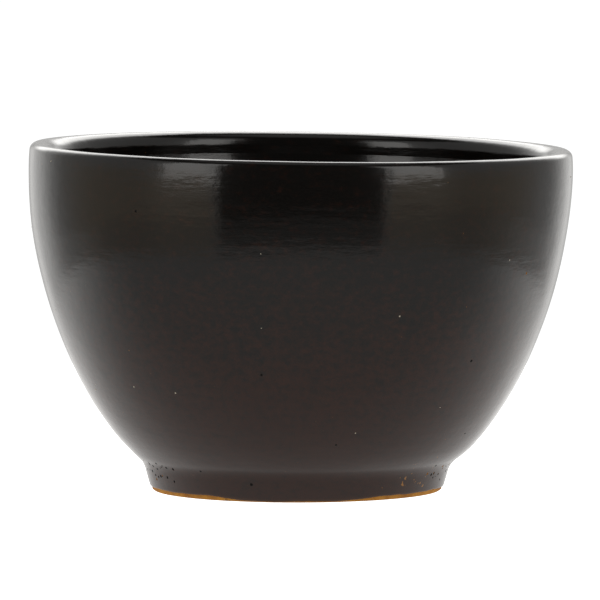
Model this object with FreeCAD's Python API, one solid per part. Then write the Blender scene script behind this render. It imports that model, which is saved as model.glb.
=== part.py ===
"""A black-glazed clay bowl on a turned foot, in millimetres, +Z up.

The origin is the middle of the standing face, and +Z is the axis that the bowl was thrown about.
Every piece is a section in the XZ half-plane, turned a full circle about +Z.

Clay pieces:  thrown_bowl, foot_ring, slip_joint (the layer of slip that the ring is luted on with).
Glaze coats:  dip_glaze (foot, wall and lip), liner_glaze (inside), well_glaze (under the floor).
Coats lie on the clay face to face, and meet each other and the slip the same way.
"""

import FreeCAD
import Part
import math
import os

# ---- Driving dimensions ------------------------------------------------------------------------
RIM_DIAMETER = 150.0  # widest, at the shoulder just below the lip, over the glaze
HEIGHT = 95.0  # table to the crest of the lip
FOOT_DIAMETER = 80.5  # where the foot meets the table
FOOT_HEIGHT = 7.6  # table to the crease between foot and wall
FOOT_FLARE_DEG = 16.0  # the foot's side leans out by this much from upright
CREASE_RADIUS = 6.5  # hollow where the wall springs from the foot

WALL_SPRING_DEG = 38.0  # the wall leaves the foot at this angle above level
LOWER_FULLNESS = 17.5  # how far the wall keeps its first direction, as a curve handle
UPPER_FULLNESS = 35.2  # how far the wall stays upright below the shoulder, as a curve handle
SHOULDER_DROP = 6.0  # crest of the lip to the widest ring

LIP_LEAN_DEG = 5.0  # the outside leans in by this much where the lip's round begins
LIP_ROUND = 1.9  # on the outside of the lip, over the glaze
SLOPE_WIDTH = 4.9  # the lip slopes inwards, from its crest to the upright inside
SLOPE_DROP = 3.8  # the same, downwards
CREST_SPREAD = 0.6  # how far the slope keeps the crest's level direction, as a share of its width
THROAT_SPREAD = 0.8  # how far it keeps the inside's upright direction, as a share of its drop
LAP_DROP = 6.0  # crest of the lip to the line inside where the two coats meet

FLOOR_TOP = 12.0  # table to the middle of the floor inside, over the glaze
FLOOR_FULLNESS = 50.0  # how far the floor stays level from the middle, as a curve handle
INSIDE_LEAN_DEG = 4.5  # the inside leans in by this much, going down, just below the lap
INSIDE_FULLNESS = 42.0  # how far the inside keeps that direction, as a curve handle

WELL_DEPTH = 5.2  # table to the bare clay under the floor
RING_WIDTH = 8.0  # foot's side at the table in to the hollow's side at its roof
WELL_DIAMETER = FOOT_DIAMETER - 2 * RING_WIDTH  # hollow inside the foot ring, at its roof, bare clay
WELL_FLARE_DEG = 9.0  # the hollow opens downwards by this much
FOOT_EDGE = 0.3  # bevel on both edges of the standing face, at most a third of the ring there

SLIP = 0.3  # thickness of the slip joint
COAT = 0.4  # thickness of the dip and liner coats
WELL_COAT = 0.3  # thickness of the coat under the floor
BARE_OUTSIDE = 1.0  # height of clay left bare when the foot was wiped, outside
BARE_INSIDE = 1.4  # the same, on the hollow's side

# ---- Values worked out from them ---------------------------------------------------------------
RIM_RADIUS = RIM_DIAMETER / 2
FOOT_RADIUS = FOOT_DIAMETER / 2
WELL_RADIUS = WELL_DIAMETER / 2
FOOT_FLARE = math.radians(FOOT_FLARE_DEG)
WALL_SPRING = math.radians(WALL_SPRING_DEG)
WELL_FLARE = math.radians(WELL_FLARE_DEG)
LIP_LEAN = math.radians(LIP_LEAN_DEG)
INSIDE_LEAN = math.radians(INSIDE_LEAN_DEG)
SHOULDER_Z = HEIGHT - SHOULDER_DROP
LAP_Z = HEIGHT - LAP_DROP
FULL_TURN_DEG = 360

# The crease is an arc that touches the foot's side and the wall's first direction.
CREASE_TURN = math.pi / 2 - FOOT_FLARE - WALL_SPRING
CREASE_REACH = CREASE_RADIUS * math.tan(CREASE_TURN / 2)
CORNER_R = FOOT_RADIUS + FOOT_HEIGHT * math.tan(FOOT_FLARE)
CREASE_START_R = CORNER_R - CREASE_REACH * math.sin(FOOT_FLARE)
CREASE_START_Z = FOOT_HEIGHT - CREASE_REACH * math.cos(FOOT_FLARE)
CREASE_CENTRE_R = CREASE_START_R + CREASE_RADIUS * math.cos(FOOT_FLARE)
CREASE_CENTRE_Z = CREASE_START_Z - CREASE_RADIUS * math.sin(FOOT_FLARE)

# A lean arc joins the lip's round to the upright shoulder. The crest is right above the round's centre.
LIP_CENTRE_Z = HEIGHT - LIP_ROUND
LEAN_RADIUS = (LIP_CENTRE_Z - SHOULDER_Z) / math.sin(LIP_LEAN) + LIP_ROUND
LEAN_CENTRE_R = RIM_RADIUS - LEAN_RADIUS
LIP_CENTRE_R = LEAN_CENTRE_R + (LEAN_RADIUS - LIP_ROUND) * math.cos(LIP_LEAN)
INSIDE_RADIUS = LIP_CENTRE_R - SLOPE_WIDTH


def at(r, z):
    """A point of the section, r from the axis and z above the table."""
    return FreeCAD.Vector(r, 0, z)


def around(centre_r, centre_z, radius, angle):
    """The point at an angle on a circle of the section, where 0 points away from the axis and a right angle up."""
    return at(centre_r + radius * math.cos(angle), centre_z + radius * math.sin(angle))


def line(a, b):
    return Part.LineSegment(a, b).toShape()


def arc(centre_r, centre_z, radius, begin, end):
    angles = (begin, (begin + end) / 2, end)
    return Part.Arc(*[around(centre_r, centre_z, radius, a) for a in angles]).toShape()


def curve(*poles):
    bezier = Part.BezierCurve()
    bezier.setPoles(list(poles))
    return bezier.toShape()


def turn(edges):
    """The closed section that the edges bound, in any order, turned about the axis."""
    face = Part.Face(Part.Wire(Part.__sortEdges__(edges)))
    solid = face.revolve(at(0, 0), FreeCAD.Vector(0, 0, 1), FULL_TURN_DEG)
    if solid.Volume < 0:
        solid.reverse()
    return solid


# ---- The outline, at any depth below the glazed surface ----------------------------------------
def foot_side(z, depth):
    """The point of the foot's side at height z."""
    return at(FOOT_RADIUS + z * math.tan(FOOT_FLARE) - depth / math.cos(FOOT_FLARE), z)


def crease_angle(share):
    """The direction from the crease's centre, from the foot's side at 0 to the wall at 1."""
    return math.pi - FOOT_FLARE - share * CREASE_TURN


def crease_point(share, depth):
    return around(CREASE_CENTRE_R, CREASE_CENTRE_Z, CREASE_RADIUS + depth, crease_angle(share))


def crease(begin, end, depth):
    angles = crease_angle(begin), crease_angle(end)
    return arc(CREASE_CENTRE_R, CREASE_CENTRE_Z, CREASE_RADIUS + depth, *angles)


def wall(depth):
    """The outside of the wall, from the crease up to the shoulder."""
    start = crease_point(1, depth)
    first_way = at(math.cos(WALL_SPRING), math.sin(WALL_SPRING))
    shoulder = at(RIM_RADIUS - depth, SHOULDER_Z)
    upright = at(0, UPPER_FULLNESS)
    return curve(start, start + first_way * LOWER_FULLNESS, shoulder - upright, shoulder)


def lip(depth):
    """The lean arc, the lip's round, its slope and the upright inside it, down to the lap line."""
    lean = arc(LEAN_CENTRE_R, SHOULDER_Z, LEAN_RADIUS - depth, 0, LIP_LEAN)
    outer_round = arc(LIP_CENTRE_R, LIP_CENTRE_Z, LIP_ROUND - depth, LIP_LEAN, math.pi / 2)
    crest = at(LIP_CENTRE_R, HEIGHT - depth)
    foot = at(INSIDE_RADIUS + depth, HEIGHT - SLOPE_DROP)
    level = at(CREST_SPREAD * (crest.x - foot.x), 0)
    upright = at(0, THROAT_SPREAD * (crest.z - foot.z))
    slope = curve(crest, crest - level, foot + upright, foot)
    return [lean, outer_round, slope, line(foot, at(foot.x, LAP_Z))]


def inside(depth):
    """The hollow of the bowl, from the lap line down to the middle of the floor."""
    top = at(INSIDE_RADIUS + depth, LAP_Z)
    down = at(-math.sin(INSIDE_LEAN), -math.cos(INSIDE_LEAN))
    middle = at(0, FLOOR_TOP - depth)
    return curve(middle, middle + at(FLOOR_FULLNESS, 0), top + down * INSIDE_FULLNESS, top)


def well_side(z, depth):
    """The point of the hollow under the foot at height z. Depth is measured out of the hollow."""
    return at(WELL_RADIUS + (WELL_DEPTH - z) * math.tan(WELL_FLARE) + depth / math.cos(WELL_FLARE), z)


# ---- Where the foot ring is luted to the bowl --------------------------------------------------
SLIP_SHARE = SLIP / (CREASE_RADIUS + COAT) / CREASE_TURN
SLIP_LOW = 0.5 - SLIP_SHARE / 2
SLIP_HIGH = 0.5 + SLIP_SHARE / 2
BOWL_SEAT = (at(WELL_RADIUS, WELL_DEPTH), crease_point(SLIP_HIGH, COAT))
RING_SEAT = (well_side(WELL_DEPTH - SLIP, 0), crease_point(SLIP_LOW, COAT))


# ---- Pieces ------------------------------------------------------------------------------------
def thrown_bowl():
    """Floor, wall and lip, thrown from one lump of clay."""
    underside = line(at(0, WELL_DEPTH), BOWL_SEAT[0])
    middle = line(at(0, FLOOR_TOP - COAT), at(0, WELL_DEPTH))
    outside = [crease(SLIP_HIGH, 1, COAT), wall(COAT), *lip(COAT)]
    return turn([underside, line(*BOWL_SEAT), *outside, inside(COAT), middle])


def foot_ring():
    """The ring that the bowl stands on, bevelled at both edges of its standing face."""
    width = foot_side(0, COAT).x - well_side(0, 0).x
    edge = min(FOOT_EDGE, width / 3)
    outer = foot_side(edge, COAT)
    inner = well_side(edge, 0)
    face_outer = foot_side(0, COAT) - at(edge, 0)
    face_inner = well_side(0, 0) + at(edge, 0)
    bottom = [line(inner, face_inner), line(face_inner, face_outer), line(face_outer, outer)]
    side = [line(outer, crease_point(0, COAT)), crease(0, SLIP_LOW, COAT)]
    return turn([*bottom, *side, line(*RING_SEAT), line(RING_SEAT[0], inner)])


def slip_joint():
    """The slip between the ring and the bowl, which fired into one body with both."""
    outer = crease(SLIP_LOW, SLIP_HIGH, COAT)
    return turn([line(*RING_SEAT), outer, line(*BOWL_SEAT), line(BOWL_SEAT[0], RING_SEAT[0])])


def dip_glaze():
    """The coat that the bowl was dipped in: from the wiped line on the foot, up and over the lip."""
    wiped = line(foot_side(BARE_OUTSIDE, COAT), foot_side(BARE_OUTSIDE, 0))
    lap = line(at(INSIDE_RADIUS, LAP_Z), at(INSIDE_RADIUS + COAT, LAP_Z))
    skins = []
    for depth in (0, COAT):
        foot = line(foot_side(BARE_OUTSIDE, depth), crease_point(0, depth))
        skins += [foot, crease(0, 1, depth), wall(depth), *lip(depth)]
    return turn([wiped, *skins, lap])


def liner_glaze():
    """The coat that was poured inside, up to the lap line."""
    lap = line(at(INSIDE_RADIUS, LAP_Z), at(INSIDE_RADIUS + COAT, LAP_Z))
    middle = line(at(0, FLOOR_TOP), at(0, FLOOR_TOP - COAT))
    return turn([inside(0), lap, inside(COAT), middle])


def well_glaze():
    """The coat under the floor and down the hollow's side, wiped off near the standing face."""
    roof_z = WELL_DEPTH - WELL_COAT
    roof = [line(at(0, WELL_DEPTH), BOWL_SEAT[0]), line(BOWL_SEAT[0], RING_SEAT[0])]
    side = [line(RING_SEAT[0], well_side(BARE_INSIDE, 0))]
    wiped = line(well_side(BARE_INSIDE, 0), well_side(BARE_INSIDE, -WELL_COAT))
    corner = well_side(roof_z, -WELL_COAT)
    skin = [line(well_side(BARE_INSIDE, -WELL_COAT), corner), line(corner, at(0, roof_z))]
    return turn([*roof, *side, wiped, *skin, line(at(0, roof_z), at(0, WELL_DEPTH))])


PIECES = (thrown_bowl, foot_ring, slip_joint, dip_glaze, liner_glaze, well_glaze)

os.makedirs("parts", exist_ok=True)
for make in PIECES:
    piece = make()
    piece.exportStep(f"parts/{make.__name__}.step")
    print(f"{make.__name__}: valid {piece.isValid()}, volume {piece.Volume:.0f} mm3")
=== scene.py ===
"""A black-glazed clay bowl: three coats of glaze over a thrown bowl, its foot ring and the slip between.

Every piece is a section to the right of the axis. Geometry nodes turn it a full circle about +Z, raise
the throwing rings on its skin, and settle it: the bowl leans and sags a little, as a hand-thrown one does.
All pieces settle alike, so that they still meet. Lengths are in metres.
"""

import math

import bpy
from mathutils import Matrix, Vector


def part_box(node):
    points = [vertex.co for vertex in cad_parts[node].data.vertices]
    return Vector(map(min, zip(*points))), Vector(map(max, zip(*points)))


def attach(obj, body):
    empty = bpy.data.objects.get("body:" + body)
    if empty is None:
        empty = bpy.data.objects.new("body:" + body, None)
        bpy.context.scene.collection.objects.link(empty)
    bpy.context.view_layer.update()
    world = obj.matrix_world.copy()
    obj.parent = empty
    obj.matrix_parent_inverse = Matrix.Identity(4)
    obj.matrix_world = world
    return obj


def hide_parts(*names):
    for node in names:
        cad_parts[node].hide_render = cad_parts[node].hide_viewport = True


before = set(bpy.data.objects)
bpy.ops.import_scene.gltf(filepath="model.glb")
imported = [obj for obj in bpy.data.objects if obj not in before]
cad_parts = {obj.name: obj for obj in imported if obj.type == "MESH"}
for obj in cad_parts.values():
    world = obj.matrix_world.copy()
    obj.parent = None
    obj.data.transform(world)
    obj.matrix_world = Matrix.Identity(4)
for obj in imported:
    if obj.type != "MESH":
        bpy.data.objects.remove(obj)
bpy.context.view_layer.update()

MM = 0.001
TURN = 2 * math.pi


# ---- Sizes from the frame ----------------------------------------------------------------------
def lowest(node):
    return round(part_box(node)[0][2], 5)


def highest(node):
    return round(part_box(node)[1][2], 5)


def widest(node):
    return round(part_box(node)[1][0], 5)


HEIGHT = highest("dip_glaze")
RIM_RADIUS = round(widest("dip_glaze"), 4)
LAP_Z = highest("liner_glaze")  # where the dip and liner coats meet, inside the lip
BARE_OUTSIDE = lowest("dip_glaze")  # bare clay below the glaze, outside the foot
BARE_INSIDE = lowest("well_glaze")  # the same, inside the foot
WELL_DEPTH = lowest("thrown_bowl")  # table to the bare clay under the floor
SLIP_Z = lowest("slip_joint")  # table to the inner edge of the slip

# ---- Sizes of the section ----------------------------------------------------------------------
COAT = 0.4 * MM
WELL_COAT = 0.3 * MM
FOOT_RADIUS = 40.25 * MM
FOOT_HEIGHT = 7.6 * MM
FOOT_FLARE = math.radians(16)
FOOT_EDGE = 0.3 * MM  # bevel on both edges of the standing face
CREASE_RADIUS = 6.5 * MM  # hollow where the wall springs from the foot
WALL_SPRING = math.radians(38)
LOWER_FULLNESS = 17.5 * MM  # curve handles of the wall, at the crease and at the shoulder
UPPER_FULLNESS = 35.2 * MM
SHOULDER_Z = HEIGHT - 6 * MM
LIP_LEAN = math.radians(5)
LIP_ROUND = 1.9 * MM  # on the outside of the lip
SLOPE_WIDTH = 4.9 * MM  # from the crest of the lip to the upright inside
SLOPE_DROP = 3.8 * MM
CREST_SPREAD = 0.6  # curve handles of the slope, as shares of its width and its drop
THROAT_SPREAD = 0.8
FLOOR_FULLNESS = 50 * MM  # curve handles of the inside, at the middle and at the lap
INSIDE_FULLNESS = 42 * MM
INSIDE_LEAN = math.radians(4.5)
WELL_FLARE = math.radians(9)

FLOOR_TOP = lowest("liner_glaze") + COAT
WELL_RADIUS = widest("well_glaze") - (WELL_DEPTH - BARE_INSIDE) * math.tan(WELL_FLARE)
CREASE_TURN = math.pi / 2 - FOOT_FLARE - WALL_SPRING
CREASE_REACH = CREASE_RADIUS * math.tan(CREASE_TURN / 2)
CREASE_START_R = FOOT_RADIUS + FOOT_HEIGHT * math.tan(FOOT_FLARE) - CREASE_REACH * math.sin(FOOT_FLARE)
CREASE_START_Z = FOOT_HEIGHT - CREASE_REACH * math.cos(FOOT_FLARE)
CREASE_CENTRE_R = CREASE_START_R + CREASE_RADIUS * math.cos(FOOT_FLARE)
CREASE_CENTRE_Z = CREASE_START_Z - CREASE_RADIUS * math.sin(FOOT_FLARE)
LIP_CENTRE_Z = HEIGHT - LIP_ROUND
LEAN_RADIUS = (LIP_CENTRE_Z - SHOULDER_Z) / math.sin(LIP_LEAN) + LIP_ROUND
LEAN_CENTRE_R = RIM_RADIUS - LEAN_RADIUS
LIP_CENTRE_R = LEAN_CENTRE_R + (LEAN_RADIUS - LIP_ROUND) * math.cos(LIP_LEAN)
INSIDE_RADIUS = LIP_CENTRE_R - SLOPE_WIDTH
SLIP_SHARE = (WELL_DEPTH - SLIP_Z) / (CREASE_RADIUS + COAT) / CREASE_TURN
SLIP_LOW = 0.5 - SLIP_SHARE / 2
SLIP_HIGH = 0.5 + SLIP_SHARE / 2

# ---- How the maker's hand shows ----------------------------------------------------------------
RIM_TILT = 0.0153  # the rim's slope, higher on the -X side
RIM_SAG = 0.002  # share of its height that the bowl lost in the kiln
BOWL_SHIFT = 0.2 * MM  # the bowl's middle lies off the axis by this much, towards -X
FOOT_SHIFT = 0.65 * MM  # the foot ring was luted on this much further that way
RIM_SHIFT = 0.5 * MM  # the rim bends back the other way by this much
OUT_OF_ROUND = 0.006


# ---- Points of the section ---------------------------------------------------------------------
class Knot:
    """A point of a section. Skin is 1 where glaze or clay is free to swell, and 0 where pieces meet.

    Slide is the way that a wiped edge wanders, and thin is 1 where the glaze runs thin.
    """

    def __init__(self, r, z, skin=0.0, slide=(0.0, 0.0), thin=0.0):
        self.r = r
        self.z = z
        self.skin = skin
        self.slide = slide
        self.thin = thin


def line(a, b, steps=1):
    return [(a[0] + (b[0] - a[0]) * i / steps, a[1] + (b[1] - a[1]) * i / steps) for i in range(steps + 1)]


def around(centre_r, centre_z, radius, angle):
    return centre_r + radius * math.cos(angle), centre_z + radius * math.sin(angle)


def arc(centre_r, centre_z, radius, begin, end, steps):
    angles = [begin + (end - begin) * i / steps for i in range(steps + 1)]
    return [around(centre_r, centre_z, radius, angle) for angle in angles]


def curve(a, b, c, d, steps):
    """Points of the cubic curve with these four poles."""
    points = []
    for i in range(steps + 1):
        t = i / steps
        weights = (1 - t) ** 3, 3 * t * (1 - t) ** 2, 3 * t * t * (1 - t), t ** 3
        points.append(tuple(sum(w * p[axis] for w, p in zip(weights, (a, b, c, d))) for axis in (0, 1)))
    return points


def joined(*runs):
    """Runs of points end to end, each starting where the last one ended."""
    points = list(runs[0])
    for run in runs[1:]:
        points += run[1:]
    return points


# ---- The outline, at any depth below the glazed surface ----------------------------------------
def foot_side(z, depth):
    return FOOT_RADIUS + z * math.tan(FOOT_FLARE) - depth / math.cos(FOOT_FLARE), z


def well_side(z, depth):
    return WELL_RADIUS + (WELL_DEPTH - z) * math.tan(WELL_FLARE) + depth / math.cos(WELL_FLARE), z


def crease_angle(share):
    return math.pi - FOOT_FLARE - share * CREASE_TURN


def crease_point(share, depth):
    return around(CREASE_CENTRE_R, CREASE_CENTRE_Z, CREASE_RADIUS + depth, crease_angle(share))


def crease(begin, end, depth, steps):
    angles = crease_angle(begin), crease_angle(end)
    return arc(CREASE_CENTRE_R, CREASE_CENTRE_Z, CREASE_RADIUS + depth, *angles, steps)


def wall(depth, steps):
    """The outside of the wall, from the crease up to the shoulder."""
    start = crease_point(1, depth)
    reach_r = LOWER_FULLNESS * math.cos(WALL_SPRING)
    reach_z = LOWER_FULLNESS * math.sin(WALL_SPRING)
    low = start[0] + reach_r, start[1] + reach_z
    shoulder = RIM_RADIUS - depth, SHOULDER_Z
    return curve(start, low, (shoulder[0], SHOULDER_Z - UPPER_FULLNESS), shoulder, steps)


def lip(depth, steps):
    """The lean arc, the lip's round, its slope and the upright inside it, down to the lap line."""
    lean = arc(LEAN_CENTRE_R, SHOULDER_Z, LEAN_RADIUS - depth, 0, LIP_LEAN, steps // 3)
    outer_round = arc(LIP_CENTRE_R, LIP_CENTRE_Z, LIP_ROUND - depth, LIP_LEAN, math.pi / 2, steps)
    crest = outer_round[-1]
    foot = INSIDE_RADIUS + depth, HEIGHT - SLOPE_DROP
    level = crest[0] - CREST_SPREAD * (crest[0] - foot[0]), crest[1]
    upright = foot[0], foot[1] + THROAT_SPREAD * (crest[1] - foot[1])
    slope = curve(crest, level, upright, foot, steps)
    return joined(lean, outer_round, slope, line(foot, (foot[0], LAP_Z), steps // 3))


def inside(depth, steps):
    """The hollow of the bowl, from the lap line down to the middle of the floor."""
    top = INSIDE_RADIUS + depth, LAP_Z
    lean = top[0] - INSIDE_FULLNESS * math.sin(INSIDE_LEAN), LAP_Z - INSIDE_FULLNESS * math.cos(INSIDE_LEAN)
    middle = 0.0, FLOOR_TOP - depth
    return curve(top, lean, (FLOOR_FULLNESS, middle[1]), middle, steps)


def seat_of_bowl(steps):
    return line((WELL_RADIUS, WELL_DEPTH), crease_point(SLIP_HIGH, COAT), steps)


def seat_of_ring(steps):
    return line(well_side(SLIP_Z, 0), crease_point(SLIP_LOW, COAT), steps)


# ---- Sections of the pieces --------------------------------------------------------------------
def faded(points, ends, reach):
    """Knots whose skin fades to nothing within reach of the places in ends."""
    knots = []
    for r, z in points:
        near = min(math.dist((r, z), end) for end in ends)
        knots.append(Knot(r, z, skin=min(near / reach, 1.0)))
    return knots


def plain(points):
    return [Knot(r, z) for r, z in points]


def wandering(z, edge_z, reach):
    """How far a place follows the wiped edge as it wanders: 1 at the edge and 0 from reach above it."""
    return max(0.0, 1 - max(z - edge_z, 0) / reach)


def section_of_dip_glaze():
    """Up the foot and wall, over the lip to the lap line, and back down against the clay."""
    hidden = joined(line(foot_side(BARE_OUTSIDE, COAT), crease_point(0, COAT), 8), crease(0, 1, COAT, 6))
    hidden = joined(hidden, wall(COAT, 30), lip(COAT, 9))
    bead = COAT / 2
    foot_way = math.sin(FOOT_FLARE), math.cos(FOOT_FLARE)
    middle = foot_side(BARE_OUTSIDE, bead)
    centre = middle[0] + bead * foot_way[0], middle[1] + bead * foot_way[1]
    edge = arc(*centre, bead, -math.pi - FOOT_FLARE, -FOOT_FLARE, 6)
    foot = line(edge[-1], crease_point(0, 0), 14)
    shown = joined(edge, foot, crease(0, 1, 0, 12), wall(0, 96), lip(0, 21))
    knots = faded(shown, (shown[0], shown[-1]), reach=3 * MM)
    back = plain(hidden)[::-1]
    for knot in knots + back:
        wander = wandering(knot.z, BARE_OUTSIDE, reach=FOOT_HEIGHT / 2)
        knot.slide = foot_way[0] * wander, foot_way[1] * wander
    for knot in knots:
        knot.thin = wandering(knot.z, BARE_OUTSIDE, reach=FOOT_HEIGHT / 2) ** 3
    return knots + back + knots[:1]


def section_of_liner_glaze():
    """Down the inside from the lap line to the middle, and back up against the clay."""
    shown = inside(0, 110)
    back = plain(inside(COAT, 40))[::-1]
    return faded(shown, shown[:1], reach=6 * MM) + back + [Knot(*shown[0])]


def section_of_well_glaze():
    """The roof of the hollow from the middle, down its side to the wiped edge, and back."""
    corner = well_side(WELL_DEPTH - WELL_COAT, -WELL_COAT)
    fillet = 0.8 * MM
    corner_round = arc(corner[0] - fillet, corner[1] - fillet, fillet, math.pi / 2, WELL_FLARE, 6)
    edge = well_side(BARE_INSIDE, -WELL_COAT)
    shown = joined(line((0.0, corner[1]), corner_round[0], 44), corner_round)
    shown = shown + line(corner_round[-1], edge, 6)[1:]
    hidden = line(well_side(BARE_INSIDE, 0), (WELL_RADIUS, WELL_DEPTH), 6)
    hidden = joined(hidden, line(hidden[-1], (0.0, WELL_DEPTH), 12))
    knots = faded(shown, (edge, corner), reach=4 * MM) + plain(hidden)
    for knot in knots:
        on_side = knot.r > WELL_RADIUS - fillet
        wander = wandering(knot.z, BARE_INSIDE, reach=2 * MM) if on_side else 0.0
        knot.slide = -math.sin(WELL_FLARE) * wander, math.cos(WELL_FLARE) * wander
    return knots


def section_of_foot_ring():
    """Down the hollow's side, across the standing face, up the foot, and back along the slip."""
    face_in = well_side(0, 0)[0] + FOOT_EDGE, 0.0
    face_out = foot_side(0, COAT)[0] - FOOT_EDGE, 0.0
    bevels = well_side(FOOT_EDGE, 0), foot_side(FOOT_EDGE, COAT)
    side = joined(line(bevels[1], crease_point(0, COAT), 8), crease(0, SLIP_LOW, COAT, 4))
    bottom = joined(line(bevels[0], face_in, 4), line(face_in, face_out, 24), line(face_out, bevels[1], 4))
    inner = line(seat_of_ring(1)[0], bevels[0], 6)
    knots = plain(inner) + faded(bottom, (bottom[0], bottom[-1]), FOOT_EDGE)[1:] + plain(side)[1:]
    return knots + plain(seat_of_ring(6))[::-1][1:]


def section_of_slip_joint():
    points = joined(seat_of_ring(6), crease(SLIP_LOW, SLIP_HIGH, COAT, 2), seat_of_bowl(6)[::-1])
    return plain(joined(points, line(points[-1], points[0])))


def section_of_thrown_bowl():
    outside = joined(seat_of_bowl(6), crease(SLIP_HIGH, 1, COAT, 4), wall(COAT, 40), lip(COAT, 9))
    under = line((0.0, WELL_DEPTH), outside[0], 12)
    return plain(joined(under, outside, inside(COAT, 40)))


# ---- Short ways to write node trees ------------------------------------------------------------
class Field:
    """An output of a node, which can be added, multiplied and compared as a number can."""

    def __init__(self, tree, socket):
        self.tree = tree
        self.socket = socket

    def math(self, operation, *others):
        made = self.tree.nodes.new("ShaderNodeMath")
        made.operation = operation
        feed(self.tree, made, dict(enumerate((self, *others))))
        return Field(self.tree, made.outputs[0])

    def __add__(self, other):
        return self.math("ADD", other)

    def __mul__(self, other):
        return self.math("MULTIPLY", other)

    def __sub__(self, other):
        return self.math("SUBTRACT", other)

    def __truediv__(self, other):
        return self.math("DIVIDE", other)

    def ramp(self, low, high):
        """0 up to low, 1 from high, and smooth between."""
        name = "ShaderNodeMapRange"
        return add(self.tree, name, {0: self, 1: low, 2: high}, interpolation_type="SMOOTHSTEP")[0]


def feed(tree, made, values):
    """Links the fields among the values to the node's inputs, and sets the others on them.

    Each key is the name or the number of an input.
    """
    for key, value in values.items():
        if isinstance(value, Field):
            tree.links.new(value.socket, made.inputs[key])
        else:
            made.inputs[key].default_value = value


def add(tree, kind, values=None, **settings):
    """A new node of the tree, with its settings and inputs, as the list of its outputs."""
    made = tree.nodes.new(kind)
    for name, value in settings.items():
        setattr(made, name, value)
    feed(tree, made, values or {})
    return [Field(tree, socket) for socket in made.outputs]


def vector(tree, x, y, z):
    return add(tree, "ShaderNodeCombineXYZ", {0: x, 1: y, 2: z})[0]


def parts_of(tree, field):
    return add(tree, "ShaderNodeSeparateXYZ", {0: field})


def noise(tree, where, scale, detail=2.0, roughness=0.5):
    """Smooth noise about zero, from about -0.5 to 0.5."""
    values = {"Vector": where, "Scale": scale, "Detail": detail, "Roughness": roughness}
    return add(tree, "ShaderNodeTexNoise", values)[0] - 0.5


def named(tree, name, data_type="FLOAT"):
    return add(tree, "GeometryNodeInputNamedAttribute", {"Name": name}, data_type=data_type)[0]


def start_tree(name, sizes):
    """A geometry node tree with a geometry input and these named inputs, each (socket type, default)."""
    tree = bpy.data.node_groups.new(name, "GeometryNodeTree")
    tree.interface.new_socket("Geometry", in_out="INPUT", socket_type="NodeSocketGeometry")
    tree.interface.new_socket("Geometry", in_out="OUTPUT", socket_type="NodeSocketGeometry")
    for label, (kind, default) in sizes.items():
        socket = tree.interface.new_socket(label, in_out="INPUT", socket_type="NodeSocket" + kind)
        if default is not None:
            socket.default_value = default
    made = tree.nodes.new("NodeGroupInput")
    return tree, {socket.name: Field(tree, socket) for socket in made.outputs if socket.name}


def end_tree(tree, geometry, material):
    geometry = add(tree, "GeometryNodeRealizeInstances", {"Geometry": geometry})[0]
    if material:
        geometry = add(tree, "GeometryNodeSetMaterial", {"Geometry": geometry, "Material": material})[0]
    made = tree.nodes.new("NodeGroupOutput")
    tree.links.new(geometry.socket, made.inputs[0])


def use_tree(piece, tree, values):
    """Puts the tree on the piece as a modifier, and sets its inputs by their identifiers."""
    modifier = piece.modifiers.new(tree.name, "NODES")
    modifier.node_group = tree
    for socket in tree.interface.items_tree:
        if socket.in_out == "INPUT" and socket.name in values:
            modifier[socket.identifier] = values[socket.name]


def freeze(piece):
    """Turns what the piece's modifiers make into its plain mesh, without its empty material slots."""
    graph = bpy.context.evaluated_depsgraph_get()
    shown = piece.evaluated_get(graph)
    mesh = bpy.data.meshes.new_from_object(shown, preserve_all_data_layers=True, depsgraph=graph)
    for slot in reversed(range(len(mesh.materials))):
        if not mesh.materials[slot]:
            mesh.materials.pop(index=slot)
    piece.modifiers.clear()
    piece.data = mesh
    mesh.name = piece.name


# ---- Turning a section into a piece ------------------------------------------------------------
SHARP_EDGE = math.radians(35)  # an edge stays sharp where its faces turn by more than this


def settled(tree, x, y, z):
    """Where a point of the perfect bowl lies on the real one."""
    share = z / HEIGHT
    angle = y.math("ARCTAN2", x)
    where = vector(tree, angle.math("COSINE"), angle.math("SINE"), share)
    swell = noise(tree, where, 0.8) * share * OUT_OF_ROUND + 1.0
    foot_shift = z.ramp(FOOT_HEIGHT + 5 * MM, FOOT_HEIGHT - 3 * MM) * FOOT_SHIFT
    rim_shift = share.ramp(0.72, 1.0) * RIM_SHIFT
    new_x = x * swell - foot_shift + rim_shift - BOWL_SHIFT
    new_z = z * (1 - RIM_SAG) - x * share * share * RIM_TILT
    return vector(tree, new_x, y * swell, new_z)


def smooth_but_sharp(tree, geometry, angle):
    """Smooth faces, with the edges that turn by more than the angle left sharp."""
    geometry = add(tree, "GeometryNodeSetShadeSmooth", {"Geometry": geometry}, domain="FACE")[0]
    turn = add(tree, "GeometryNodeInputMeshEdgeAngle")[0]
    sharp = turn.math("GREATER_THAN", angle)
    values = {"Geometry": geometry, "Selection": sharp, "Shade Smooth": False}
    return add(tree, "GeometryNodeSetShadeSmooth", values, domain="EDGE")[0]


def throwing_marks(tree, size, r, along, column, cosine, sine):
    """How far the throwing rings, the slow swells and the spiral stand out from a smooth skin."""
    ring_place = vector(tree, r * cosine * 9.0, r * sine * 9.0, along / size["Ring Spacing"])
    rings = noise(tree, ring_place, 1.0, detail=3.0) * size["Ring Height"] * 2.0
    swell_place = vector(tree, r * cosine, r * sine, along)
    per_swell = size["Swell Width"].math("POWER", -1.0)
    swells = noise(tree, swell_place, per_swell, 1.0) * size["Swell Height"] * 2.0
    spiral_phase = (along / size["Spiral Pitch"] - column / size["Columns"]) * TURN
    spiral = spiral_phase.math("SINE") * size["Spiral Height"] * r.ramp(3 * MM, 15 * MM)
    return rings + swells + spiral


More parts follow.
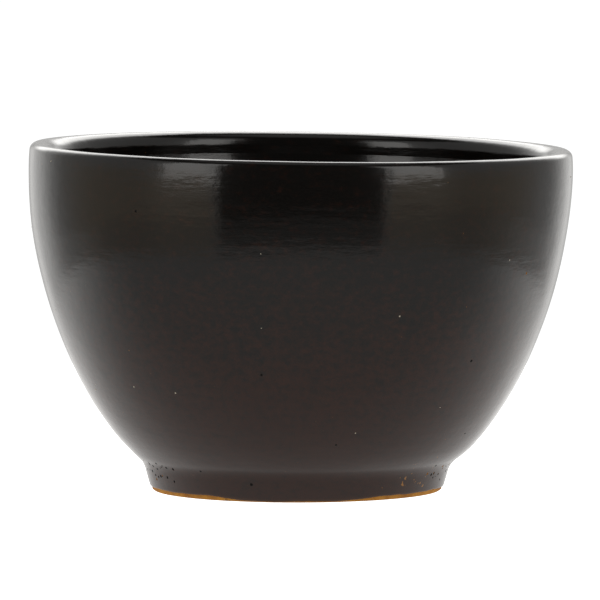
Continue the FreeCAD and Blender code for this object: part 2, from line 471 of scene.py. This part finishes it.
def make_turning_tree():
    """Turns the outline about the axis, with throwing rings, a spiral and slow swells on its skin."""
    tree, size = start_tree("turned_piece", {
        "Outline": ("Object", None),
        "Columns": ("Int", 360),
        "Ring Height": ("Float", 0.0),
        "Ring Spacing": ("Float", 3 * MM),
        "Swell Height": ("Float", 0.0),
        "Swell Width": ("Float", 20 * MM),
        "Spiral Height": ("Float", 0.0),
        "Spiral Pitch": ("Float", 6 * MM),
        "Only Inwards": ("Float", 0.0),
        "Wipe Wander": ("Float", 0.0),
        "Wipe Rise": ("Float", 0.0),
        "Wipe Dip": ("Float", 0.0),
        "Material": ("Material", None),
    })
    outline = add(tree, "GeometryNodeObjectInfo", {"Object": size["Outline"]})[4]
    rows = add(tree, "GeometryNodeAttributeDomainSize", {"Geometry": outline})[0]
    sheet = {"Vertices X": size["Columns"] + 1.0, "Vertices Y": rows}
    grid = add(tree, "GeometryNodeMeshGrid", sheet)[0]
    index = add(tree, "GeometryNodeInputIndex")[0]
    row = index.math("MODULO", rows)
    column = (index / rows).math("FLOOR").math("MODULO", size["Columns"])
    angle = column / size["Columns"] * TURN
    cosine = angle.math("COSINE")
    sine = angle.math("SINE")

    def of_outline(value, data_type):
        values = {"Geometry": outline, "Value": value, "Index": row}
        return add(tree, "GeometryNodeSampleIndex", values, data_type=data_type)[0]

    place = add(tree, "GeometryNodeInputPosition")[0]
    r, _, z = parts_of(tree, of_outline(place, "FLOAT_VECTOR"))
    out_r, _, out_z = parts_of(tree, of_outline(named(tree, "outward", "FLOAT_VECTOR"), "FLOAT_VECTOR"))
    slide_r, _, slide_z = parts_of(tree, of_outline(named(tree, "slide", "FLOAT_VECTOR"), "FLOAT_VECTOR"))
    skin = of_outline(named(tree, "skin"), "FLOAT")
    along = of_outline(named(tree, "along"), "FLOAT")

    proud = throwing_marks(tree, size, r, along, column, cosine, sine) * skin
    inwards = proud.math("ABSOLUTE") * -1.0
    proud = proud + (inwards - proud) * size["Only Inwards"]

    circle = vector(tree, cosine, sine, 3.0)
    wander = noise(tree, circle, 2.3, detail=5.0, roughness=0.6) * size["Wipe Wander"] * 2.0
    wander = wander + size["Wipe Rise"] - (sine * -1.0).ramp(0.80, 0.97) * size["Wipe Dip"]
    new_r = r + proud * out_r + wander * slide_r
    new_z = z + proud * out_z + wander * slide_z
    position = settled(tree, new_r * cosine, new_r * sine, new_z)
    piece = add(tree, "GeometryNodeSetPosition", {"Geometry": grid, "Position": position})[0]
    for label in ("skin", "thin"):
        kept = {"Geometry": piece, "Name": label, "Value": of_outline(named(tree, label), "FLOAT")}
        piece = add(tree, "GeometryNodeStoreNamedAttribute", kept, data_type="FLOAT", domain="POINT")[0]
    piece = add(tree, "GeometryNodeMergeByDistance", {"Geometry": piece, "Distance": 0.001 * MM})[0]
    piece = smooth_but_sharp(tree, piece, SHARP_EDGE)
    end_tree(tree, piece, size["Material"])
    return tree


def make_outline(name, knots):
    """A mesh of one point for each knot, which carries what the turning tree needs to know there."""
    mesh = bpy.data.meshes.new(name + "_outline")
    points = [Vector((knot.r, 0.0, knot.z)) for knot in knots]
    mesh.from_pydata(points, [(i, i + 1) for i in range(len(points) - 1)], [])
    kinds = {
        "outward": "FLOAT_VECTOR",
        "slide": "FLOAT_VECTOR",
        "skin": "FLOAT",
        "thin": "FLOAT",
        "along": "FLOAT",
    }
    for label, kind in kinds.items():
        mesh.attributes.new(label, kind, "POINT")
    outward, slide, skin, thin, along = [mesh.attributes[label] for label in kinds]
    distance = 0.0
    for i, knot in enumerate(knots):
        before = points[max(i - 1, 0)]
        after = points[min(i + 1, len(points) - 1)]
        way = (after - before).normalized()
        outward.data[i].vector = (way.z, 0.0, -way.x)
        slide.data[i].vector = (knot.slide[0], 0.0, knot.slide[1])
        skin.data[i].value = knot.skin
        thin.data[i].value = knot.thin
        distance += (points[i] - before).length
        along.data[i].value = distance
    outline = bpy.data.objects.new(name + "_outline", mesh)
    bpy.context.scene.collection.objects.link(outline)
    return outline


def turned(name, knots, tree, **sizes):
    """The piece of that name, turned from its knots and made a plain mesh."""
    piece = bpy.data.objects.new(name, bpy.data.meshes.new(name))
    bpy.context.scene.collection.objects.link(piece)
    outline = make_outline(name, knots)
    values = {label.replace("_", " ").title(): value for label, value in sizes.items()}
    use_tree(piece, tree, {"Outline": outline, **values})
    freeze(piece)
    bpy.data.objects.remove(outline)
    return piece


# ---- Pinholes, burst bubbles and grit in the glaze, the grit also a painted glint --------------
PIT_MARK = 1.0
GRAIN_MARK = 2.0


def chance(tree, low, high, seed):
    """A random number for each point."""
    values = {2: low, 3: high, 8: seed}
    return add(tree, "FunctionNodeRandomValue", values, data_type="FLOAT")[1]


def balls(tree, points, normal, radius, lift, mark):
    """Balls on the points, lifted off the surface by a share of their radius, with marked faces."""
    ball = add(tree, "GeometryNodeMeshIcoSphere", {"Radius": 1.0, "Subdivisions": 2})[0]
    marks = {"Geometry": ball, "Name": "mark", "Value": mark}
    ball = add(tree, "GeometryNodeStoreNamedAttribute", marks, data_type="FLOAT", domain="FACE")[0]
    outward = {0: normal, "Scale": radius * lift}
    lifted = add(tree, "ShaderNodeVectorMath", outward, operation="SCALE")[0]
    moved = add(tree, "GeometryNodeSetPosition", {"Geometry": points, "Offset": lifted})[0]
    spheres = {"Points": moved, "Instance": ball, "Scale": vector(tree, radius, radius, radius)}
    made = add(tree, "GeometryNodeInstanceOnPoints", spheres)[0]
    return add(tree, "GeometryNodeRealizeInstances", {"Geometry": made})[0]


def united(tree, *solids):
    """The solids as one."""
    made = tree.nodes.new("GeometryNodeMeshBoolean")
    made.operation = "UNION"
    made.solver = "MANIFOLD"
    for solid in solids:
        tree.links.new(solid.socket, made.inputs["Mesh 2"])
    return Field(tree, made.outputs[0])


def make_marking_tree():
    """Cuts round pits in the skin, crowded round two places on the foot, and sets grains of grit on it,
    whose pale colour is also a painted glint.
    """
    tree, size = start_tree("marked_glaze", {
        "Pits": ("Float", 900.0),
        "Foot Pits": ("Float", 9000.0),
        "Crowd Pits": ("Float", 500000.0),
        "Crowd Left": ("Vector", (0.0, 0.0, 0.0)),
        "Crowd Right": ("Vector", (0.0, 0.0, 0.0)),
        "Crowd Reach": ("Float", 13 * MM),
        "Foot Top": ("Float", 10 * MM),
        "Smallest Pit": ("Float", 0.20 * MM),
        "Largest Pit": ("Float", 0.50 * MM),
        "Grains": ("Float", 1100.0),
        "Grain Size": ("Float", 0.32 * MM),
        "Glaze Material": ("Material", None),
        "Pit Material": ("Material", None),
        "Grain Material": ("Material", None),
        "Seed": ("Int", 1),
    })
    coat = size["Geometry"]
    place = add(tree, "GeometryNodeInputPosition")[0]
    height = parts_of(tree, place)[2]

    def nearness(centre):
        away = add(tree, "ShaderNodeVectorMath", {0: place, 1: centre}, operation="DISTANCE")[1]
        return away.ramp(size["Crowd Reach"], 0.0)

    def scatter(density, seed):
        skin = named(tree, "skin").math("GREATER_THAN", 0.9)
        values = {"Mesh": coat, "Selection": skin, "Distance Min": size["Largest Pit"] * 2.1}
        values["Density Max"] = size["Crowd Pits"]
        values["Density Factor"] = density / size["Crowd Pits"]
        values["Seed"] = size["Seed"] + seed
        return add(tree, "GeometryNodeDistributePointsOnFaces", values, distribute_method="POISSON")[:2]

    crowd = nearness(size["Crowd Left"]) + nearness(size["Crowd Right"])
    on_foot = height.ramp(size["Foot Top"], size["Foot Top"] * 0.8)
    density = size["Pits"] + on_foot * size["Foot Pits"] + crowd * on_foot * size["Crowd Pits"]
    points, normal = scatter(density, 0.0)
    radius = size["Smallest Pit"] + (size["Largest Pit"] - size["Smallest Pit"]) * chance(tree, 0.0, 1.0, 3)
    pits = balls(tree, points, normal, radius, 0.2, PIT_MARK)
    cut = {"Mesh 1": coat, "Mesh 2": pits}
    marked = add(tree, "GeometryNodeMeshBoolean", cut, operation="DIFFERENCE", solver="MANIFOLD")[0]

    points, normal = scatter(size["Grains"], 7.0)
    grain = size["Grain Size"] * chance(tree, 0.4, 1.0, 9)
    grains = balls(tree, points, normal, grain, -0.45, GRAIN_MARK)
    marked = smooth_but_sharp(tree, united(tree, marked, grains), SHARP_EDGE)
    mark = named(tree, "mark")
    for low, label in ((0.0, "Glaze"), (PIT_MARK, "Pit"), (GRAIN_MARK, "Grain")):
        values = {"Geometry": marked, "Selection": mark.math("GREATER_THAN", low - 0.5)}
        values["Material"] = size[label + " Material"]
        marked = add(tree, "GeometryNodeSetMaterial", values)[0]
    end_tree(tree, marked, None)
    return tree


# ---- Materials ---------------------------------------------------------------------------------
GRITTY_SIDE = 31 * MM, -27 * MM, 4.5 * MM  # round here the glaze shows specks of rust
STREAK_HEIGHT = 0.07  # relief of the glaze, in millimetres
PEEL_HEIGHT = 0.022
DENT_HEIGHT = 0.05
GLAZE_ROUGHNESS = 0.14
BLACK_BODY = 0.0038, 0.0030, 0.0024, 1
RUSTY_BODY = 0.028, 0.0080, 0.0034, 1
THIN_BODY = 0.055, 0.020, 0.006, 1
RUST_SPECK = 0.30, 0.13, 0.02, 1
DARK_CLAY = 0.34, 0.125, 0.012, 1
PALE_CLAY = 0.56, 0.25, 0.03, 1
CLAY_STAIN = 0.10, 0.034, 0.006, 1
PALE_GROG = 0.50, 0.34, 0.18, 1
PIT_BLACK = 0.0025, 0.0020, 0.0018, 1
PIT_RUST = 0.32, 0.14, 0.015, 1
# grain colours: partly the grit's own colour, partly a painted glint, pale on the black glaze
DARKER_GRIT_AND_GLINT = 0.42, 0.36, 0.26, 1
PALE_GRIT_AND_GLINT = 0.62, 0.57, 0.46, 1


def start_material(name, **settings):
    """A material with these values set on its shader: (material, tree, shader node, place on the piece)."""
    material = bpy.data.materials.new(name)
    material.use_nodes = True
    tree = material.node_tree
    shader = tree.nodes["Principled BSDF"]
    for label, value in settings.items():
        shader.inputs[label.replace("_", " ")].default_value = value
    place = add(tree, "ShaderNodeTexCoord")[3]
    return material, tree, shader, place


def stretched(tree, place, across, up):
    """Coordinates for a pattern that is scaled by one number level and by another upright."""
    return add(tree, "ShaderNodeMapping", {"Vector": place, "Scale": (across, across, up)})[0]


def mixed(tree, share, low, high):
    """A colour between two colours."""
    values = {0: share, 6: low, 7: high}
    return add(tree, "ShaderNodeMix", values, data_type="RGBA")[2]


def bumped(tree, height, depth):
    """A normal bent by a height from 0 to 1 that stands for so many metres."""
    return add(tree, "ShaderNodeBump", {"Height": height, "Distance": depth, "Strength": 1.0})[0]


def off_gritty_side(tree, place):
    """How far a place is from the gritty side."""
    return add(tree, "ShaderNodeVectorMath", {0: place, 1: GRITTY_SIDE}, operation="DISTANCE")[1]


def make_glaze(name, rust):
    """Glossy black-brown glaze: level streaks and orange peel on its skin, rustier low down."""
    material, tree, shader, place = start_material(name, IOR=1.5)
    streaks = noise(tree, stretched(tree, place, 75, 420), 1.0, detail=4.0, roughness=0.55)
    peel = noise(tree, place, 520, detail=2.0)
    dents = noise(tree, place, 140)
    height = streaks * STREAK_HEIGHT + peel * PEEL_HEIGHT + dents * DENT_HEIGHT
    tree.links.new(bumped(tree, height, MM).socket, shader.inputs["Normal"])
    cloud = noise(tree, place, 55, detail=5.0, roughness=0.6)
    roughness = cloud * 0.08 + streaks * 0.08 + GLAZE_ROUGHNESS
    tree.links.new(roughness.socket, shader.inputs["Roughness"])
    low = parts_of(tree, place)[2].ramp(HEIGHT, 0.0) * rust
    mottle = noise(tree, stretched(tree, place, 420, 620), 1.0, detail=4.0, roughness=0.75)
    rusty = (low + mottle * 2.4 + cloud * 0.5).ramp(0.0, 1.15)
    body = mixed(tree, rusty, BLACK_BODY, RUSTY_BODY)
    gritty = off_gritty_side(tree, place).ramp(16 * MM, 2 * MM) * 0.14
    speck = (noise(tree, place, 650, detail=2.0) + gritty).ramp(0.27, 0.33)
    body = mixed(tree, speck, body, RUST_SPECK)
    attribute = add(tree, "ShaderNodeAttribute", attribute_name="thin")[2]
    thin = (attribute + cloud * 0.3).ramp(0.45, 1.1)
    colour = mixed(tree, thin, body, THIN_BODY)
    tree.links.new(colour.socket, shader.inputs["Base Color"])
    return material


def make_clay(name):
    """Bare ochre earthenware: matt, gritty, with darker stains of glaze and pale grog."""
    material, tree, shader, place = start_material(name, IOR=1.45)
    grain = noise(tree, place, 2400, detail=4.0, roughness=0.7)
    patches = noise(tree, place, 160, detail=4.0, roughness=0.65)
    clay = mixed(tree, (patches + 0.5).ramp(0.3, 0.7), DARK_CLAY, PALE_CLAY)
    stained = mixed(tree, patches.ramp(0.1, 0.26), clay, CLAY_STAIN)
    colour = mixed(tree, grain.ramp(0.14, 0.24), stained, PALE_GROG)
    tree.links.new(colour.socket, shader.inputs["Base Color"])
    roughness = grain * 0.2 + 0.82
    tree.links.new(roughness.socket, shader.inputs["Roughness"])
    tree.links.new(bumped(tree, grain, 0.06 * MM).socket, shader.inputs["Normal"])
    return material


def make_pit_wall(name):
    """Inside a burst bubble: dull, almost black, with rusty clay showing here and there."""
    material, tree, shader, place = start_material(name, IOR=1.5)
    gritty = off_gritty_side(tree, place).ramp(20 * MM, 4 * MM) * 0.16
    rust = (noise(tree, place, 420, detail=1.0) + gritty).ramp(0.12, 0.2)
    colour = mixed(tree, rust, PIT_BLACK, PIT_RUST)
    tree.links.new(colour.socket, shader.inputs["Base Color"])
    grit = noise(tree, place, 4000)
    roughness = grit * 0.3 + 0.75
    tree.links.new(roughness.socket, shader.inputs["Roughness"])
    return material


def make_grit_and_glint(name):
    """Pale grains that the glaze caught, their pale colour partly the grit's own and partly a painted glint
    on the black glaze.
    """
    material, tree, shader, place = start_material(name, IOR=1.5)
    shade = noise(tree, place, 900) + 0.5
    colour = mixed(tree, shade, DARKER_GRIT_AND_GLINT, PALE_GRIT_AND_GLINT)
    tree.links.new(colour.socket, shader.inputs["Base Color"])
    roughness = shade * 0.2 + 0.3
    tree.links.new(roughness.socket, shader.inputs["Roughness"])
    return material


# ---- The studio --------------------------------------------------------------------------------
TABLE_EDGE = 0.265  # the table glows to here, and the apron round it glows a quarter as much
APRON_EDGE = 0.44
TABLE_FADE = 0.025  # half the width over which the glow falls at the table's edge
APRON_SHARE = 0.25
FRONT_GLOW = 0.5  # radiance of the table, in front of the bowl and behind it
BACK_GLOW = 1.25
GLOW_REACH = 0.09  # half the depth over which one turns into the other
FLOOR_GLOW = 1.05
ROOM_TINT = 1.0, 0.99, 0.97, 1
WARM_TINT = 1.0, 0.86, 0.69, 1
BOX_TINT = 1.0, 0.98, 0.95
BOX_AZIMUTHS = {"left_box": -45.3, "right_box": 47.2}  # degrees from the front
BOX_DISTANCE = 0.668
BOX_WIDTH = 0.27
BOX_LOW = 0.075
BOX_HIGH = 0.63
BOX_RADIANCE = 1.75
FLOOR_RADIUS = 6.0
CAMERA_DISTANCE = 2.385
CAMERA_HEIGHT = 0.231
AIM_HEIGHT = 0.0523
LENS = 520.2  # focal length in millimetres


def make_disc(name, radius, z, material):
    mesh = bpy.data.meshes.new(name)
    steps = 96
    angles = [TURN * i / steps for i in range(steps)]
    points = [(radius * math.cos(angle), radius * math.sin(angle), z) for angle in angles]
    mesh.from_pydata(points, [], [tuple(range(steps))])
    mesh.materials.append(material)
    disc = bpy.data.objects.new(name, mesh)
    bpy.context.scene.collection.objects.link(disc)
    return disc


def start_lit_white(name):
    """A white that gives its own light, as (material, tree, shader node)."""
    material = bpy.data.materials.new(name)
    material.use_nodes = True
    tree = material.node_tree
    shader = tree.nodes["Principled BSDF"]
    shader.inputs["Base Color"].default_value = (0, 0, 0, 1)
    shader.inputs["Roughness"].default_value = 1.0
    shader.inputs["Specular IOR Level"].default_value = 0.0
    shader.inputs["Emission Color"].default_value = ROOM_TINT
    return material, tree, shader


def make_floor():
    """A plain white floor, and the light table on it, brighter towards the back."""
    floor, _, shader = start_lit_white("white_floor")
    shader.inputs["Emission Color"].default_value = (1, 1, 1, 1)
    shader.inputs["Emission Strength"].default_value = FLOOR_GLOW
    make_disc("floor", FLOOR_RADIUS, -0.2 * MM, floor).visible_glossy = False

    table, tree, shader = start_lit_white("light_table")
    x, y, _ = parts_of(tree, add(tree, "ShaderNodeTexCoord")[3])
    glow = y.ramp(-GLOW_REACH, GLOW_REACH) * (BACK_GLOW - FRONT_GLOW) + FRONT_GLOW
    away = (x * x + y * y).math("SQRT")
    near = away.ramp(TABLE_EDGE + TABLE_FADE, TABLE_EDGE - TABLE_FADE)
    shown = near + (near * -1.0 + 1.0) * away.ramp(APRON_EDGE, APRON_EDGE - 0.03) * APRON_SHARE
    seen = add(tree, "ShaderNodeLightPath")[0]
    tree.links.new((glow + seen).socket, shader.inputs["Emission Strength"])
    tree.links.new(shown.socket, shader.inputs["Alpha"])
    make_disc("table", APRON_EDGE, 0.0, table)


def make_room():
    """A dark room in front of the bowl, grey sides that are warm low down, and a lit white wall behind.

    The eye sees all of it at full strength: white, but for a cream band low at the sides.
    """
    world = bpy.data.worlds.new("studio")
    bpy.context.scene.world = world
    world.use_nodes = True
    tree = world.node_tree
    background = tree.nodes["Background"]
    way = add(tree, "ShaderNodeTexCoord")[0]
    x, y, z = parts_of(tree, way)
    azimuth = x.math("ARCTAN2", y * -1.0)
    off_front = azimuth.math("ABSOLUTE")
    off_wall = (azimuth - math.radians(4)).math("ABSOLUTE")

    def turned_past(angle, low, high):
        """0 up to the low angle, 1 from the high one, in degrees."""
        return angle.ramp(math.radians(low), math.radians(high))

    def raised_past(low, high):
        """0 up to the low elevation, 1 from the high one, in degrees."""
        return z.ramp(math.sin(math.radians(low)), math.sin(math.radians(high)))

    beside_boxes = turned_past(off_front, 34.5, 38) * 0.64
    sides = turned_past(off_front, 56, 76) * -0.18
    under_sides = raised_past(-9, -13) * -0.35 + 1.0
    behind = turned_past(off_front, 160, 172) * -0.85 + 1.0
    wall = turned_past(off_wall, 122, 152) * 0.8 * behind
    back_light = turned_past(off_front, 140, 160) * raised_past(8, 16) * 2.5
    overhead = raised_past(60, 80) * 0.36
    below_top = raised_past(54, 46)
    room = ((beside_boxes + sides) * under_sides + wall + back_light) * below_top + overhead + 0.05
    seen = add(tree, "ShaderNodeLightPath")[0]
    strength = room + (room * -1.0 + 1.0) * seen
    tree.links.new(strength.socket, background.inputs["Strength"])
    warm = turned_past(off_front, 36, 40) * turned_past(off_front, 130, 95) * raised_past(5, -3)
    colour = mixed(tree, warm, ROOM_TINT, WARM_TINT)
    tree.links.new(colour.socket, background.inputs["Color"])


def make_box(name, place, target, width, length, radiance):
    """A soft box at a place, turned to face the target."""
    data = bpy.data.lights.new(name, "AREA")
    data.shape = "RECTANGLE"
    data.size = width
    data.size_y = length
    data.energy = radiance * math.pi * width * length
    data.color = BOX_TINT
    box = bpy.data.objects.new(name, data)
    bpy.context.scene.collection.objects.link(box)
    box.location = place
    box.rotation_euler = (Vector(target) - Vector(place)).to_track_quat("-Z", "Y").to_euler()
    box.visible_camera = False


def make_lights():
    """Two upright soft boxes in front, one to each side."""
    middle = (BOX_LOW + BOX_HIGH) / 2
    for name, azimuth in BOX_AZIMUTHS.items():
        angle = math.radians(azimuth)
        place = BOX_DISTANCE * math.sin(angle), -BOX_DISTANCE * math.cos(angle), middle
        make_box(name, place, (0, 0, middle), BOX_WIDTH, BOX_HIGH - BOX_LOW, BOX_RADIANCE)


def make_camera():
    data = bpy.data.cameras.new("camera")
    data.lens = LENS
    data.clip_end = 50
    camera = bpy.data.objects.new("camera", data)
    bpy.context.scene.collection.objects.link(camera)
    camera.location = (0, -CAMERA_DISTANCE, CAMERA_HEIGHT)
    aim = Vector((0, 0, AIM_HEIGHT)) - camera.location
    camera.rotation_euler = aim.to_track_quat("-Z", "Y").to_euler()
    bpy.context.scene.camera = camera


# ---- The bowl ----------------------------------------------------------------------------------
def make_bowl():
    turning = make_turning_tree()
    glaze = make_glaze("dipped_glaze", 1.0)
    liner = make_glaze("poured_glaze", 0.25)
    clay = make_clay("bare_clay")
    pieces = {
        "dip_glaze": turned(
            "glazed_outside", section_of_dip_glaze(), turning, material=glaze, ring_height=0.022 * MM,
            ring_spacing=3.2 * MM, swell_height=0.10 * MM, swell_width=22 * MM, wipe_wander=0.7 * MM,
            wipe_rise=0.3 * MM, wipe_dip=0.9 * MM),
        "liner_glaze": turned(
            "glazed_inside", section_of_liner_glaze(), turning, material=liner, ring_height=0.04 * MM,
            ring_spacing=4 * MM, swell_height=0.12 * MM, swell_width=24 * MM, spiral_height=0.09 * MM,
            spiral_pitch=7.5 * MM),
        "well_glaze": turned(
            "glazed_underside", section_of_well_glaze(), turning, material=glaze, columns=288,
            ring_height=0.03 * MM, spiral_height=0.05 * MM, spiral_pitch=4 * MM, wipe_wander=0.5 * MM),
        "foot_ring": turned(
            "clay_foot", section_of_foot_ring(), turning, material=clay, ring_height=0.05 * MM,
            ring_spacing=0.7 * MM, swell_height=0.04 * MM, swell_width=3 * MM, only_inwards=1.0),
        "slip_joint": turned("slip", section_of_slip_joint(), turning, material=clay),
        "thrown_bowl": turned("clay_bowl", section_of_thrown_bowl(), turning, material=clay),
    }
    use_tree(pieces["dip_glaze"], make_marking_tree(), {
        "Crowd Left": (-38.5 * MM, -17 * MM, 5.5 * MM),
        "Crowd Right": (39.0 * MM, -15 * MM, 5.0 * MM),
        "Glaze Material": glaze,
        "Pit Material": make_pit_wall("burst_bubble"),
        "Grain Material": make_grit_and_glint("pale_grit"),
        "Seed": 4,
    })
    freeze(pieces["dip_glaze"])
    for node, piece in pieces.items():
        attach(piece, "root")
        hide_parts(node)


make_bowl()
make_floor()
make_room()
make_lights()
make_camera()
bpy.context.scene.view_settings.view_transform = "Standard"
